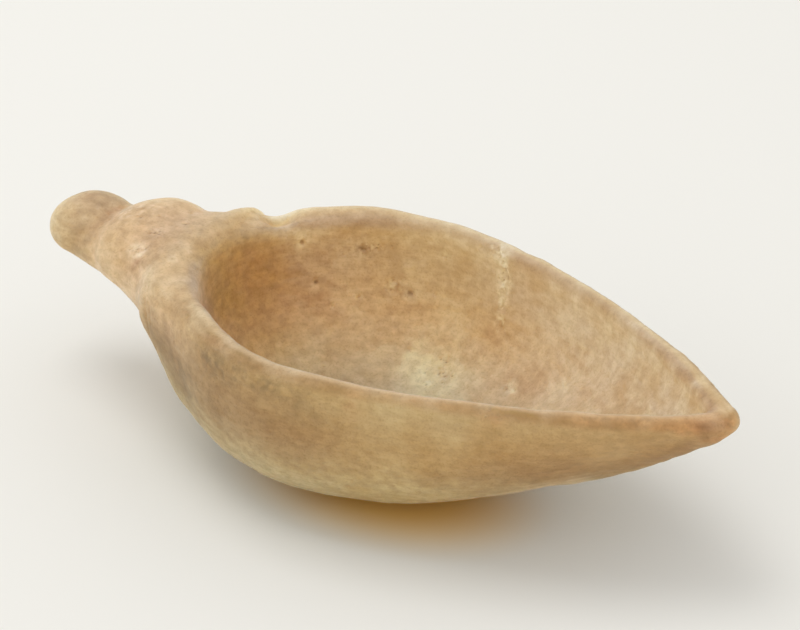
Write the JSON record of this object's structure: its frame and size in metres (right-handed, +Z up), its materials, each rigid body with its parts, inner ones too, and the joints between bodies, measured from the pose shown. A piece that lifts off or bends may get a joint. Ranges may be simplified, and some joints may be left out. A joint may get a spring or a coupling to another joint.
{
  "type": "stone dish",
  "caption": "Leaf-shaped dish carved from one block of pale calcite stone, with a rounded lip, a blunt pointed end and a short lobed handle at the round end.",
  "frame": {"origin": "centre of the bounding box in X and Y, on the worn flat that the dish stands on", "axes": "+X runs from the handle to the pointed end, +Y across the bowl, +Z up out of the hollow"},
  "size_m": [0.1316, 0.0584, 0.0318],
  "materials": {
    "calcite": "satin, slightly translucent"
  },
  "bodies": {
    "root": {"stone_dish": "calcite"}
  },
  "joints": []
}
